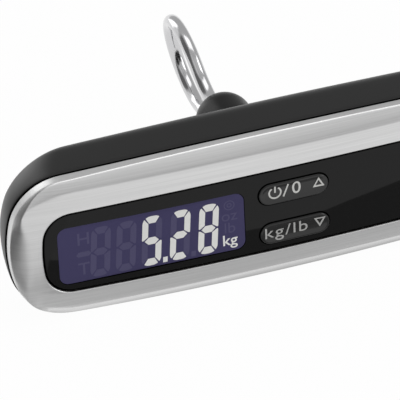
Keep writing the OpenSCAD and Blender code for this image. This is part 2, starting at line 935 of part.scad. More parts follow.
// Soft ring round the neck of the door
module door_seal() {
    color("black") at_grip()
        difference() {
            rod(coin_x, 0, floor_d + seat_gap, back_d - door_step_t, door_neck_dia - 2 * running_gap);
            rod(coin_x, 0, floor_d - overlap, back_d, plug_dia + 2 * running_gap);
        }
}

front_plate();
window_panel();
window_gasket();
inner_frame();
lcd_cell();
backlight_panel();
contact_strips();
power_button();
set_button();
power_switch();
set_switch();
circuit_board();
controller_chip();
sensor_ribbon();
rear_shell();
housing_screws();
load_cell();
load_cell_screws();
strain_gauges();
neck_collar();
stem_bush();
thrust_washer();
stem_nut();
hook_stem();
hook_cap();
hook();
battery_tray();
coin_cell();
positive_contact();
negative_contact();
battery_door();
door_seal();
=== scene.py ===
import math

import bmesh
import bpy
from mathutils import Matrix, Vector


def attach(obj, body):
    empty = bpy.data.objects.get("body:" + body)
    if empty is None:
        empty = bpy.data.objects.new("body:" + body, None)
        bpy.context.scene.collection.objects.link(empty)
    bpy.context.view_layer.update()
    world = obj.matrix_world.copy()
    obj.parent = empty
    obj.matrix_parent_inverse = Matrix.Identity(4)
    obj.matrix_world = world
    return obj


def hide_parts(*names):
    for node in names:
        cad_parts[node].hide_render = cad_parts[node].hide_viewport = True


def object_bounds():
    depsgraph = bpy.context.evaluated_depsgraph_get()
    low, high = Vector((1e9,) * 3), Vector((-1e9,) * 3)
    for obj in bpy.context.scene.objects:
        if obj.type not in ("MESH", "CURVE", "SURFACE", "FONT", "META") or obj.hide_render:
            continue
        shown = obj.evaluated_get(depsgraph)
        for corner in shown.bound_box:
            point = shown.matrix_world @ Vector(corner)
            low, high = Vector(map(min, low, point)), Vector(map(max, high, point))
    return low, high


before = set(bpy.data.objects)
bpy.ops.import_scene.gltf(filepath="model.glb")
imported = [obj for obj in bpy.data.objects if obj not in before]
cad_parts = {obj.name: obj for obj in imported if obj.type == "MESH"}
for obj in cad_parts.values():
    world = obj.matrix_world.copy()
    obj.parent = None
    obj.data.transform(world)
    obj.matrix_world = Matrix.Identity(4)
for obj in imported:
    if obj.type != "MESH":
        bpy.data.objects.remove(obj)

cad_box = [list(corner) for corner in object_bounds()]
FLOOR = cad_box[0][2]

# Sizes in millimetres, as in the part's source; depths count from the middle of the front
MM = 0.001
GRIP_MID = 11.39
BOW_R = 1000
EDGE_R = 0.3
TO_FRAME = Matrix.Scale(MM, 4) @ Matrix.Translation((0, -GRIP_MID, 0))

# Front plate
HALF_LEN, HALF_H = 67.7, 20.25
PLATE_SIDE_R, PLATE_CORNER_R, PLATE_END_R = 1190, 14, 36
SHEET_T, SHEET_BEND = 1, 0.8
SKIRT_END_D, SKIRT_LEAN = 5.38, 0.45
FLAT_Z, CREASE_Z = 11.6, 16.75
FLAT_EASE, CREASE_EASE = 0.3, 0.4
BORDER_DROP = 1.08
FACET_SLOPE = 2.5 / 3.5
ROLL_W, ROLL_CORNER_W, ROLL_DROP = 4.5, 0.95, 2.8
ROLL_FROM_Z, ROLL_TO_Z = 2, 13
ROLL_BLEND = 0.12
BEND_FROM_X, BEND_TO_X, BEND_Z = 51, 62.5, 2.3

# Ways in from the plate's outline, and ways across a crease, at which its face has edges
BORDER_WAY = 5.4
ROLL_WAYS = (4.9, 4.5, 4.1, 3.6, 3.1, 2.6, 2.1, 1.7, 1.3, 1, 0.7, 0.5)
CREASE_WAYS = (-0.4, -0.2, 0, 0.2, 0.4)

# Window panel
WINDOW_HALF_LEN = 60.45
WINDOW_SIDE_R, WINDOW_CORNER_R, WINDOW_END_R = 4000, 7.2, 40
WINDOW_RECESS, WINDOW_GAP = 0.35, 0.5
RIM_R = 0.32
PANEL_FLANGE_W, PANEL_FLANGE_D, PANEL_BACK_D = 1.6, 1.386, 2.236
PANEL_EDGE, PANEL_SEEN = 0.1, 0.12
PANEL_STEP, PANEL_STEPS = 2.0, 31
HOLE_START_D, HOLE_END_D = -8, 12

# Display
LCD_X, LCD_D, LCD_Z = -33.2, 1.277, -1
LCD_LEN, LCD_H, LCD_CORNER = 47, 16.3, 2.4
LCD_TILT = math.asin(LCD_X / BOW_R)
MARKS_Z = -0.6
MARK_FRONT, MARK_BACK = -0.02, 0.004
DIGIT_W, DIGIT_H, BAR_W, BAR_H, BAR_GAP, SLANT = 4.95, 14.1, 1.5, 2.0, 0.15, 0.075
BAR_MITRE = 0.62
DIGITS_Z = -0.87
DIGITS = ((-12.9, ""), (-6.5, ""), (-0.05, "acdfg"), (7.1, "abdeg"), (14.25, "abcdefg"))
LIT_POINT_X, RESTING_POINT_X = 3.05, 10.2
POINT_LOW, POINT_HIGH = -7.82, -6.32
DASH = ((-19, -0.9), (-18.4, 0), (-15.8, 0), (-15.2, -0.7), (-15.8, -1.4), (-18.5, -1.4))
RING_X, RING_Z, RING_RADII, RING_HALF_W = 19.7, 4.7, (1.25, 0.5), 0.13

# Buttons and their print
BUTTON_X, POWER_Z, SET_Z = 2.9, 4.8, -6.5
BUTTON_LEN, BUTTON_H, BUTTON_GAP = 18.2, 6.2, 0.3
FACE_LEN, FACE_H = 17.9, 5.9
BUTTON_FACE_D, BUTTON_FLANGE_D, BUTTON_BACK_D = -0.15, 2.55, 3.05
BUTTON_FLANGE_W, BUTTON_BACK_INSET = 0.85, 1.6
SOFT_EDGE = [(0, 0.4), (0.05, 0.2), (0.16, 0.07)]
DISH = [(0.32, 0.01), (0.5, 0), (0.7, 0.03), (1.0, 0.1), (1.4, 0.17), (1.9, 0.21), (2.9, 0.22)]
PRINT_LIFT, LETTER_HALF_T = 0.02, 0.012
STROKE_FRONT, STROKE_BACK = -0.012, 0.02
SIGN_W, TRIANGLE_W = 0.42, 0.4

# Rear shell
RIM_D, LIP_D, WALL_END_D, FLOOR_D, BACK_D = 5.78, 4.18, 14.88, 20.78, 22.78
BACK_DEPTH = 7.9
SHELL_MARGIN, SHELL_SEEN = 0.3, 0.05
LIP_INSET, INNER_INSET, FLOOR_INSET, BACK_INSET = 1.45, 2.75, 7.7, 7.5
INNER_BEND, INNER_BOW = math.radians(50), 0.6
END_TAPER, END_ROUND = 5, 1.5
SCREW_X, SCREW_Z, SCREW_HOLE_R, SCREW_HOLE_DEPTH = 46, 12.4, 2.25, 2
NECK_HOLE_R = 7.95
CUT_PAST = 1

# Battery door
COIN_X = -37.5
DOOR_HOLE_R, DOOR_RECESS_R, DOOR_RECESS_DEPTH = 10.5, 12.15, 1.2
DOOR_R, DOOR_PLUG_R, DOOR_T, DOOR_PLAY = 12, 9.5, 1.15, 0.05
DOOR_FACE_R, DOOR_CENTRE_R = 3, 0.5
SLOT_HALF_LEN, SLOT_HALF_W, SLOT_DEPTH = 7, 1, 0.6
DOOR_MARK_X, DOOR_MARK_R, DOOR_MARK_DEPTH = 9.6, 0.7, 0.3

# Collar, with heights from the back of the grip and drops from the swivel
STEM_HOLE_R, PLUG_R = 4.05, 7.9
COLLAR_R, COLLAR_EDGE_H = 10.5, 1.4
COLLAR_WAIST_R, COLLAR_WAIST_H = 8.5, 2.2
COLLAR_NECK_STEP, COLLAR_NECK_H = 0.4, 4.4
COLLAR_TOP_DROP, COLLAR_GAP, COLLAR_TAPER, COLLAR_ROUND = 1.3, 0.3, 0.3, 0.5

# Cap of the hook, with heights from its lower edge and the dome's top from its centre
SWIVEL_D, CAP_D, CAP_R = 34.2, 42.9, 7.3
CAP_POCKET_R, CAP_POCKET_H, CAP_BORE_R, DOME_TOP = 5.05, 2.1, 1.8, 7.07
BOSS_R, BOSS_H = 6.3, 0.22
GROOVE_HEIGHTS, GROOVE_DEPTH = (2.2, 2.4, 2.7, 2.9), 0.25

# Hook, with turns in degrees
WIRE_R, BALL_R = 1.75, 2.1
WIRE_START_D, BEND_D = 36.8, 50.6
BEND_R, BOWL_R, CURL_R, LINK = 12, 12, 5, 2
TIP_TURN, CURL_TURN, HOOK_TURN = 10, 40, -10
WIRE_SIDES = 40


# Shapes

def sag(x):
    """Depth that the bow of the grip adds at a place along it."""
    return BOW_R - math.sqrt(BOW_R * BOW_R - x * x)


def eased_ramp(v, width):
    """Zero below zero and v above it, with a soft change between."""
    if v <= -width:
        return 0
    if v >= width:
        return v
    return (v + width) ** 2 / (4 * width)


def camber(reach):
    """Depth that the bevelled front adds at a distance from its middle line."""
    border = BORDER_DROP / (CREASE_Z - FLAT_Z)
    outer = (FACET_SLOPE - border) * eased_ramp(reach - CREASE_Z, CREASE_EASE)
    return border * eased_ramp(reach - FLAT_Z, FLAT_EASE) + outer


def quarter(steps):
    """Angles of a quarter turn in even steps, in radians."""
    return [math.radians(90 * i / steps) for i in range(steps + 1)]


def arc(cx, cz, r, start, end, steps):
    """Points of an arc with their outward directions, without its last point."""
    angles = [math.radians(start + (end - start) * i / steps) for i in range(steps)]
    return [(cx + r * math.cos(a), cz + r * math.sin(a), math.cos(a), math.sin(a)) for a in angles]


def barrel(half_len, half_h, side, corner, end):
    """Closed outline of tangent arcs: two ends, two long sides and four corners."""
    side_z, end_x = half_h - side, half_len - end
    reach = math.hypot(end_x, side_z)
    ux, uz = end_x / reach, -side_z / reach
    near, far = side - corner, end - corner
    along = (near * near - far * far + reach * reach) / (2 * reach)
    across = math.sqrt(near * near - along * along)
    mx, mz = along * ux + across * uz, side_z + along * uz - across * ux
    s = math.degrees(math.atan2(mx, mz - side_z))
    e = math.degrees(math.atan2(mz, mx - end_x))
    end_steps, corner_steps, side_steps = 14, 18, 64
    return (
        arc(end_x, 0, end, -e, e, end_steps)
        + arc(mx, mz, corner, e, 90 - s, corner_steps)
        + arc(0, side_z, side, 90 - s, 90 + s, side_steps)
        + arc(-mx, mz, corner, 90 + s, 180 - e, corner_steps)
        + arc(-end_x, 0, end, 180 - e, 180 + e, end_steps)
        + arc(-mx, -mz, corner, 180 + e, 270 - s, corner_steps)
        + arc(0, -side_z, side, 270 - s, 270 + s, side_steps)
        + arc(mx, -mz, corner, 270 + s, 360 - e, corner_steps)
    )


def stadium(length, height):
    """Long outline with round ends."""
    half, r, steps = (length - height) / 2, height / 2, 24
    right = arc(half, 0, r, -90, 90, steps) + [(half, r, 0, 1)]
    left = arc(-half, 0, r, 90, 270, steps) + [(-half, -r, 0, -1)]
    return right + left


def round_box(length, height, r):
    """Oblong outline with round corners."""
    x, z, steps = length / 2 - r, height / 2 - r, 10
    outline = []
    for cx, cz, a in ((x, z, 0), (-x, z, 90), (-x, -z, 180), (x, -z, 270)):
        outline += arc(cx, cz, r, a, a + 90, steps) + arc(cx, cz, r, a + 90, a + 91, 1)
    return outline


def inset(outline, amount):
    """Points of an outline moved inwards by an amount."""
    return [(x - nx * amount, z - nz * amount) for x, z, nx, nz in outline]


def between(a, b, t):
    """Points on the way from one outline to another of as many points."""
    return [(p[0] + (q[0] - p[0]) * t, p[1] + (q[1] - p[1]) * t) for p, q in zip(a, b)]


def at_depth(points, depth):
    """Ring of an outline's points at one depth."""
    return [(p[0], depth, p[1]) for p in points]


PLATE = barrel(HALF_LEN, HALF_H, PLATE_SIDE_R, PLATE_CORNER_R, PLATE_END_R)
WINDOW = barrel(WINDOW_HALF_LEN, FLAT_Z, WINDOW_SIDE_R, WINDOW_CORNER_R, WINDOW_END_R)


# Meshes

def loft(bm, rings, joined=False):
    """Walls through a stack of rings, joined to a loop or capped at both ends."""
    rows = [[bm.verts.new(p) for p in ring] for ring in rings]
    count = len(rows[0])
    for low, high in zip(rows, rows[1:] + ([rows[0]] if joined else [])):
        for i in range(count):
            j = (i + 1) % count
            bm.faces.new((low[i], low[j], high[j], high[i]))
    if not joined:
        bm.faces.new(rows[0][::-1])
        bm.faces.new(rows[-1])


def slice_at(bm, axis, levels):
    """Edges across a mesh at levels along an axis."""
    normal = Vector((axis == "x", 0, axis == "z"))
    for level in levels:
        geom = bm.verts[:] + bm.edges[:] + bm.faces[:]
        bmesh.ops.bisect_plane(bm, geom=geom, dist=1e-5, plane_co=normal * level, plane_no=normal)


def add_object(name, data):
    """Object of some data, linked to the scene."""
    made = bpy.data.objects.new(name, data)
    bpy.context.scene.collection.objects.link(made)
    return made


def evaluated_mesh(made):
    """New mesh of an object with its modifiers or its text worked out."""
    bpy.context.view_layer.update()
    return bpy.data.meshes.new_from_object(made.evaluated_get(bpy.context.evaluated_depsgraph_get()))


def put(name, bm, body, finish, sharp, place=None):
    """Makes a piece of a mesh in millimetres, with depths counted from the front."""
    bmesh.ops.recalc_face_normals(bm, faces=bm.faces[:])
    if place:
        bm.transform(place)
    bm.transform(TO_FRAME)
    mesh = bpy.data.meshes.new(name)
    bm.to_mesh(mesh)
    bm.free()
    piece = add_object(name, mesh)
    dress(piece, finish, sharp)
    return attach(piece, body)


def dress(piece, finish, sharp):
    """Gives a piece one finish and smooth faces, with edges that are sharp above an angle."""
    piece.data.materials.clear()
    piece.data.materials.append(finish)
    piece.data.polygons.foreach_set("use_smooth", [True] * len(piece.data.polygons))
    piece.data.set_sharp_from_angle(angle=math.radians(sharp))


def shade(piece, hidden):
    """Paints shade: gives a dull black to the faces that lie in a gap, where shade falls, told by their
    depth below the bow.
    """
    piece.data.materials.append(GAP_SHADE)
    for face in piece.data.polygons:
        face.material_index = int(hidden(face.center.y / MM + GRIP_MID - sag(face.center.x / MM)))


def cut(piece, tools):
    """Cuts closed meshes out of a piece."""
    for tool in tools:
        mesh = bpy.data.meshes.new("tool")
        tool.to_mesh(mesh)
        tool.free()
        cutter = add_object("tool", mesh)
        step = piece.modifiers.new("cut", "BOOLEAN")
        step.operation, step.solver, step.object = "DIFFERENCE", "EXACT", cutter
        done = evaluated_mesh(piece)
        piece.modifiers.clear()
        old, piece.data = piece.data, done
        done.name = piece.name
        bpy.data.meshes.remove(old)
        bpy.data.objects.remove(cutter)
        bpy.data.meshes.remove(mesh)


def tool_of(outline, start, end, place=None):
    """Cutter of an outline along the depth, ready for cut."""
    bm = bmesh.new()
    loft(bm, [at_depth(outline, d) for d in (start, end)])
    bmesh.ops.recalc_face_normals(bm, faces=bm.faces[:])
    if place:
        bm.transform(place)
    bm.transform(TO_FRAME)
    return bm


def tool_rod(x, z, start, end, r, steps=64):
    """Round cutter along the depth, ready for cut."""
    return tool_of(arc(x, z, r, 0, 360, steps), start, end)


def tool_block(low, high):
    """Block-shaped cutter between two corners, ready for cut."""
    bm = bmesh.new()
    bmesh.ops.create_cube(bm, size=1)
    low, high = Vector(low), Vector(high)
    bm.transform(Matrix.Translation((low + high) / 2) @ Matrix.Diagonal((high - low).to_4d()))
    bm.transform(TO_FRAME)
    return bm


def rounded(profile, r):
    """Profile of radius and depth with its inner corners rounded, as far as their sides allow."""
    steps, share = 5, 0.45
    out = [profile[0]]
    for before, at, after in zip(profile, profile[1:], profile[2:]):
        a, b, c = Vector(before), Vector(at), Vector(after)
        reach = min(r, (a - b).length * share, (c - b).length * share)
        p, q = b + (a - b).normalized() * reach, b + (c - b).normalized() * reach
        for i in range(steps + 1):
            t = i / steps
            out.append(tuple(p * (1 - t) ** 2 + b * (2 * t * (1 - t)) + q * t * t))
    return out + [profile[-1]]


def turn(profile, x=0, z=0, steps=96, joined=True):
    """Mesh turned about an axis along the depth, from a profile that is joined to a loop or capped."""
    bm = bmesh.new()
    loft(bm, [at_depth(arc(x, z, r, 0, 360, steps), d) for r, d in profile], joined)
    return bm


def mark_of(bm, points):
    """Adds a thin flat mark of an outline given as x and z."""
    front, back = [[bm.verts.new(p) for p in at_depth(points, d)] for d in (MARK_FRONT, MARK_BACK)]
    bm.faces.new(front)
    bm.faces.new(back[::-1])
    for i in range(len(points)):
        j = (i + 1) % len(points)
        bm.faces.new((front[i], back[i], back[j], front[j]))


def join(bm, other):
    """Adds another mesh to a mesh."""
    mesh = bpy.data.meshes.new("join")
    other.to_mesh(mesh)
    other.free()
    bm.from_mesh(mesh)
    bpy.data.meshes.remove(mesh)


# Finishes

class Wire:
    """A socket of a finish, with the sums that the finishes use."""

    def __init__(self, socket):
        self.socket = socket

    @classmethod
    def node(cls, tree, kind, settings=None, inputs=None, out=0):
        """Socket of a new node, with its settings set before its sockets are filled or linked."""
        made = tree.nodes.new(kind)
        for key, value in (settings or {}).items():
            setattr(made, key, value)
        for key, value in (inputs or {}).items():
            if isinstance(value, Wire):
                tree.links.new(value.socket, made.inputs[key])
            else:
                made.inputs[key].default_value = value
        return cls(made.outputs[out])

    def maths(self, operation, first, second):
        inputs = {0: first, 1: second}
        return Wire.node(self.socket.id_data, "ShaderNodeMath", {"operation": operation}, inputs)

    def __add__(self, other):
        return self.maths("ADD", self, other)

    def __sub__(self, other):
        return self.maths("SUBTRACT", self, other)

    def __rsub__(self, other):
        return self.maths("SUBTRACT", other, self)

    def __mul__(self, other):
        return self.maths("MULTIPLY", self, other)

    __radd__ = __add__
    __rmul__ = __mul__


class Finish:
    """A material whose nodes are added by the finish functions."""

    def __init__(self, name, **constants):
        self.material = bpy.data.materials.new(name)
        self.material.use_nodes = True
        self.tree = self.material.node_tree
        self.shader = self.tree.nodes["Principled BSDF"]
        for key, value in constants.items():
            self.shader.inputs[key.replace("_", " ")].default_value = value

    def node(self, kind, settings=None, inputs=None, out=0):
        return Wire.node(self.tree, kind, settings, inputs, out)

    def place(self, scale):
        """Place on the object in metres times a scale for each axis."""
        spot = self.node("ShaderNodeTexCoord", out="Object")
        return self.node("ShaderNodeVectorMath", {"operation": "MULTIPLY"}, {0: spot, 1: scale})

    def noise(self, scale, detail=3.0):
        """Noise with one scale, or with a scale for each axis."""
        vector = self.place(scale if isinstance(scale, tuple) else (scale, scale, scale))
        inputs = {"Vector": vector, "Scale": 1.0, "Detail": detail, "Roughness": 0.55}
        return self.node("ShaderNodeTexNoise", {"noise_dimensions": "3D"}, inputs, "Fac")

    def tone(self, mask, low, high):
        """Colour between two colours by a mask."""
        inputs = {0: mask, 6: (*low, 1), 7: (*high, 1)}
        return self.node("ShaderNodeMix", {"data_type": "RGBA"}, inputs, 2)

    def feed(self, **links):
        """Links wires to the shader's sockets."""
        for key, wire in links.items():
            self.tree.links.new(wire.socket, self.shader.inputs[key.replace("_", " ")])

    def bump(self, height, strength, distance):
        """Roughens the surface by a height."""
        inputs = {"Height": height, "Strength": strength, "Distance": distance}
        self.feed(Normal=self.node("ShaderNodeBump", None, inputs, "Normal"))


def grey(level):
    return (level, level, level)


def tinted(colour, share):
    """Colour with a share of its light."""
    return tuple(c * share for c in colour)


def brushed_steel(name, scale, coarse):
    """Steel with fine lines along the grip; the scales set the way the lines run."""
    f = Finish(name, Metallic=1.0)
    fine = f.noise(scale, detail=2.0)
    broad = f.noise(coarse, detail=2.0)
    lines = fine * 0.6 + broad * 0.4
    f.feed(Base_Color=f.tone(lines, grey(0.5), grey(0.86)), Roughness=0.22 + lines * 0.2)
    f.bump(lines, strength=0.12, distance=0.00004)
    return f.material


def moulded(name, colour, rough, grain=0.08, scale=6000.0, **constants):
    """Moulded plastic with a fine grain, slight patches of tone and patches of gloss."""
    f = Finish(name, **constants)
    patch = f.noise(90.0)
    colours = f.tone(patch, tinted(colour, 0.9), tinted(colour, 1.1))
    f.feed(Base_Color=colours, Roughness=rough + (patch - 0.5) * 0.08)
    if grain:
        f.bump(f.noise(scale, detail=2.0), strength=grain, distance=0.00003)
    return f.material


def gloss(name, colour, rough, **constants):
    """Polished lacquer or glass, with faint wiping marks in its gloss."""
    f = Finish(name, **constants)
    wipe = f.noise((60.0, 60.0, 260.0))
    patch = f.noise(40.0, detail=2.0)
    colours = f.tone(patch, tinted(colour, 0.95), tinted(colour, 1.05))
    f.feed(Base_Color=colours, Roughness=rough + wipe * 0.03)
    return f.material


def metal(name, colour, rough):
    """Plain metal with a slightly uneven polish."""
    f = Finish(name, Metallic=1.0)
    patch = f.noise(300.0)
    f.feed(Base_Color=f.tone(patch, tinted(colour, 0.92), colour), Roughness=rough + patch * 0.05)
    return f.material


STEEL = brushed_steel("brushed_steel_face", (25.0, 0.0, 5200.0), (9.0, 0.0, 900.0))
STEEL_EDGE = brushed_steel("brushed_steel_skirt", (25.0, 5200.0, 25.0), (9.0, 900.0, 9.0))
PANEL = gloss("window_black", grey(0.005), 0.03, Specular_IOR_Level=0.2)
DISPLAY = gloss("display_indigo", (0.067, 0.061, 0.133), 0.3, Specular_IOR_Level=0.0)
GHOST = gloss("display_resting_marks", (0.096, 0.089, 0.168), 0.3, Specular_IOR_Level=0.0)
LIT = gloss("display_lit_marks", (0.72, 0.72, 0.7), 0.3, Specular_IOR_Level=0.0,
            Emission_Color=(0.9, 0.9, 0.87, 1), Emission_Strength=0.1)
SHELL = moulded("shell_black", grey(0.005), 0.38, 0.05, Specular_IOR_Level=0.3)
# Painted shade: a dull black with no gloss that stands in for the shade inside the gaps between parts
GAP_SHADE = moulded("painted_gap_shade", grey(0.001), 0.8, 0.0, Specular_IOR_Level=0.0)
CAP = moulded("cap_black", grey(0.005), 0.34, 0.03, Specular_IOR_Level=0.22)
BUTTON = gloss("button_grey", grey(0.007), 0.14, Specular_IOR_Level=0.5)
LEGEND = moulded("legend_print", (0.6, 0.6, 0.58), 0.5, 0.0)
# Painted shade: the same print as legend_print, made darker to stand in for the shade on the lower button
LEGEND_SHADED = moulded("legend_print_painted_shade", (0.43, 0.43, 0.42), 0.5, 0.0)
CHROME = metal("hook_chrome", (0.64, 0.64, 0.65), 0.14)
ZINC = metal("zinc_steel", (0.5, 0.5, 0.51), 0.32)
ALUMINIUM = metal("bar_aluminium", (0.7, 0.7, 0.72), 0.35)
BRASS = metal("contact_brass", (0.66, 0.46, 0.18), 0.3)
RUBBER = moulded("soft_rubber", grey(0.02), 0.75, 0.15, 3000.0)
INNER = moulded("inner_plastic", grey(0.03), 0.55, 0.1)
WHITE = moulded("white_plastic", (0.72, 0.72, 0.7), 0.4, 0.05)
BOARD = moulded("board_lacquer", (0.02, 0.12, 0.05), 0.3, 0.1, 2500.0)
FILM = moulded("lead_film", (0.5, 0.27, 0.05), 0.35, 0.05)


# Front of the grip

def way_in(x, z):
    """Distance of a place on the front from its outline, up to a little more than the roll's width."""
    best = ROLL_W + 1
    for (ax, az, _, _), (bx, bz, _, _) in zip(PLATE, PLATE[1:] + PLATE[:1]):
        ux, uz = bx - ax, bz - az
        t = min(1, max(0, ((x - ax) * ux + (z - az) * uz) / (ux * ux + uz * uz)))
        best = min(best, math.hypot(ax + ux * t - x, az + uz * t - z))
    return best


def roll_width(z):
    """Width of the roll along the edge: widest at the middle of an end, narrow at its corners."""
    t = min(1, max(0, (abs(z) - ROLL_FROM_Z) / (ROLL_TO_Z - ROLL_FROM_Z)))
    return ROLL_W + (ROLL_CORNER_W - ROLL_W) * t * t * (3 - 2 * t)


def end_bend(x):
    """Shift of the bevel's creases near the ends, where they follow the corners."""
    t = max(0, abs(x) - BEND_FROM_X) / (BEND_TO_X - BEND_FROM_X)
    return BEND_Z * t * t


def front_drop(x, z):
    """Drop of the front below its middle: the bevel of the long sides, or the roll along the edge."""
    facet = camber(abs(z) + end_bend(x))
    roll = ROLL_DROP * max(0, 1 - way_in(x, z) / roll_width(z)) ** 2
    return (facet + roll + math.hypot(facet - roll, ROLL_BLEND * roll)) / 2


def make_front_plate():
    """Steel sheet: bevelled face, rounded edge, upright skirt and the cut edge of the window."""
    outer, inner, back = [inset(PLATE, way) for way in (0, SHEET_T, SHEET_T + SHEET_BEND)]
    hole, border = inset(WINDOW, -RIM_R), inset(PLATE, BORDER_WAY)
    rings = []
    for a in quarter(5):
        rim = inset(WINDOW, -RIM_R * (1 - math.cos(a)))
        rings.append(at_depth(rim, RIM_R * (1 - math.sin(a))))
    rings += [at_depth(between(hole, border, t / 4), 0) for t in range(1, 5)]
    rings += [at_depth(inset(PLATE, way), 0) for way in ROLL_WAYS]
    for a in quarter(8):
        edge = inset(PLATE, EDGE_R * (1 - math.sin(a)))
        rings.append(at_depth(edge, EDGE_R * (1 - math.cos(a))))
    for ring in (outer, inner):
        rings.append([(x, SKIRT_END_D - front_drop(x, z), z) for x, z in ring])
    rings.append(at_depth(inner, SHEET_T + SHEET_BEND))
    rings += [at_depth(between(back, inset(WINDOW, 0), t / 4), SHEET_T) for t in range(5)]
    bm = bmesh.new()
    loft(bm, rings, joined=True)
    for side in (-1, 1):
        for level in (CREASE_Z, FLAT_Z):
            slice_at(bm, "z", [side * (level + way) for way in CREASE_WAYS])
    for v in bm.verts:
        v.co.y += sag(v.co.x) + front_drop(v.co.x, v.co.z)
    piece = put("front_plate_sheet", bm, "grip", STEEL, 50)
    piece.data.materials.append(STEEL_EDGE)
    for face in piece.data.polygons:
        face.material_index = int(abs(face.normal.y) < SKIRT_LEAN)
    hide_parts("front_plate")


def make_window_panel():
    """Gloss black panel with openings for the display and the buttons."""
    rows = (
        (-PANEL_FLANGE_W, PANEL_BACK_D), (-PANEL_FLANGE_W, PANEL_FLANGE_D),
        (WINDOW_GAP, PANEL_FLANGE_D), (WINDOW_GAP, WINDOW_RECESS + PANEL_EDGE),
        (WINDOW_GAP + PANEL_EDGE, WINDOW_RECESS),
    )
    bm = bmesh.new()
    loft(bm, [at_depth(inset(WINDOW, way), d) for way, d in rows])
    slice_at(bm, "x", [i * PANEL_STEP for i in range(-PANEL_STEPS, PANEL_STEPS + 1)])
    for v in bm.verts:
        v.co.y += sag(v.co.x)
    piece = put("window_panel_sheet", bm, "grip", PANEL, 30)
    display_hole = round_box(LCD_LEN, LCD_H, LCD_CORNER)
    button_hole = stadium(BUTTON_LEN + BUTTON_GAP, BUTTON_H + BUTTON_GAP)
    holes = [(display_hole, Matrix.Translation((LCD_X, 0, LCD_Z)) @ Matrix.Rotation(LCD_TILT, 4, "Z"))]
    holes += [(button_hole, Matrix.Translation((BUTTON_X, 0, z))) for z in (POWER_Z, SET_Z)]
    cut(piece, [tool_of(outline, HOLE_START_D, HOLE_END_D, place) for outline, place in holes])
    dress(piece, PANEL, 30)
    # Painted shade: the panel's edge below the recess gets a dull black where it lies in the gap
    shade(piece, lambda depth: depth > WINDOW_RECESS + PANEL_SEEN)
    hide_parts("window_panel")


def digit_bars():
    """The seven bars of a digit, from the top round to the left and then the middle."""
    w, h, v, b, g, c = DIGIT_W, DIGIT_H, BAR_W, BAR_H, BAR_GAP, BAR_MITRE
    m = h / 2
    top = [
        (v + g, h - b), (c + g, h - c + g), (0.95, h - 0.3), (1.5, h - 0.06), (2.0, h),
        (w - 2.0, h), (w - 1.5, h - 0.06), (w - 0.95, h - 0.3), (w - c - g, h - c + g),
        (w - v - g, h - b),
    ]
    left = [
        (v, m + b / 2 + g), (v, h - b - g), (c - g, h - c - g), (0.25, h - 1.05),
        (0.05, h - 1.6), (0, h - 2.1), (0, m + 0.5), (0.1, m + 0.25), (0.45, m + 0.2 + g),
    ]
    middle = [
        (0.7, m), (v + g, m + b / 2), (w - v - g, m + b / 2), (w - 0.7, m),
        (w - v - g, m - b / 2), (v + g, m - b / 2),
    ]
    across = lambda bar: [(w - x, z) for x, z in bar]
    under = lambda bar: [(x, h - z) for x, z in bar]
    return {
        "a": top, "b": across(left), "c": under(across(left)), "d": under(top), "e": under(left),
        "f": left, "g": middle,
    }


def slanted(points, x, z):
    """Points of a digit's bar, slanted, with the middle of the digit moved to a place."""
    mid_x, mid_z = DIGIT_W / 2, DIGIT_H / 2
    return [(px - mid_x + x + (pz - mid_z) * SLANT, pz - mid_z + z) for px, pz in points]


def lettering(words, size, x, z, wide=1.0, bold=0.0, space=1.0):
    """Mesh of words, centred at a place, in x and z."""
    text = bpy.data.curves.new("words", "FONT")
    text.body, text.size, text.align_x, text.align_y = words, size, "CENTER", "CENTER"
    text.extrude, text.offset, text.space_character = LETTER_HALF_T, bold, space
    text.resolution_u = 4
    holder = add_object("words", text)
    mesh = evaluated_mesh(holder)
    bm = bmesh.new()
    bm.from_mesh(mesh)
    bmesh.ops.remove_doubles(bm, verts=bm.verts[:], dist=1e-6)
    upright = Matrix.Translation((x, 0, z)) @ Matrix.Rotation(math.pi / 2, 4, "X")
    bm.transform(upright @ Matrix.Scale(wide, 4, (1, 0, 0)))
    bpy.data.objects.remove(holder)
    bpy.data.curves.remove(text)
    bpy.data.meshes.remove(mesh)
    return bm


AT_DISPLAY = Matrix.Translation((LCD_X, LCD_D, MARKS_Z)) @ Matrix.Rotation(LCD_TILT, 4, "Z")


def make_display():
    """Bars, unit marks and points on the display, lit or at rest."""
    bars = digit_bars()
    lit, rest = bmesh.new(), bmesh.new()
    for x, on in DIGITS:
        for name, points in bars.items():
            mark_of(lit if name in on else rest, slanted(points, x, DIGITS_Z))
    for bm, x in ((lit, LIT_POINT_X), (rest, RESTING_POINT_X)):
        mark_of(bm, ((x - 0.6, POINT_LOW), (x - 0.5, POINT_HIGH), (x + 0.65, POINT_HIGH),
                     (x + 0.55, POINT_LOW)))
    for bm, words, size, x, z, bold in (
        (lit, "kg", 4.3, 19.5, -5.47, 0.04),
        (rest, "lb", 4.3, 19.6, -1.95, 0),
        (rest, "oz", 4.3, 19.6, 1.6, 0),
        (rest, "H", 4.9, -17.0, 3.5, 0.03),
        (rest, "T", 4.9, -17.25, -5.05, 0.03),
    ):
        join(bm, lettering(words, size, x, z, bold=bold))
    mark_of(rest, DASH)
    for r in RING_RADII:
        small, large = r - RING_HALF_W, r + RING_HALF_W
        profile = ((small, MARK_FRONT), (large, MARK_FRONT), (large, MARK_BACK), (small, MARK_BACK))
        join(rest, turn(profile, RING_X, RING_Z, 40))
    put("display_lit", lit, "grip", LIT, 30, AT_DISPLAY)
    put("display_resting", rest, "grip", GHOST, 30, AT_DISPLAY)


def dish_depth(x, z):
    """Depth of a button's dished face at a place on it."""
    way = FACE_H / 2 - math.hypot(max(0, abs(x) - (FACE_LEN - FACE_H) / 2), z)
    for (near, high), (far, low) in zip(DISH, DISH[1:]):
        if way < far:
            return high + (low - high) * max(0, way - near) / (far - near)
    return DISH[-1][1]


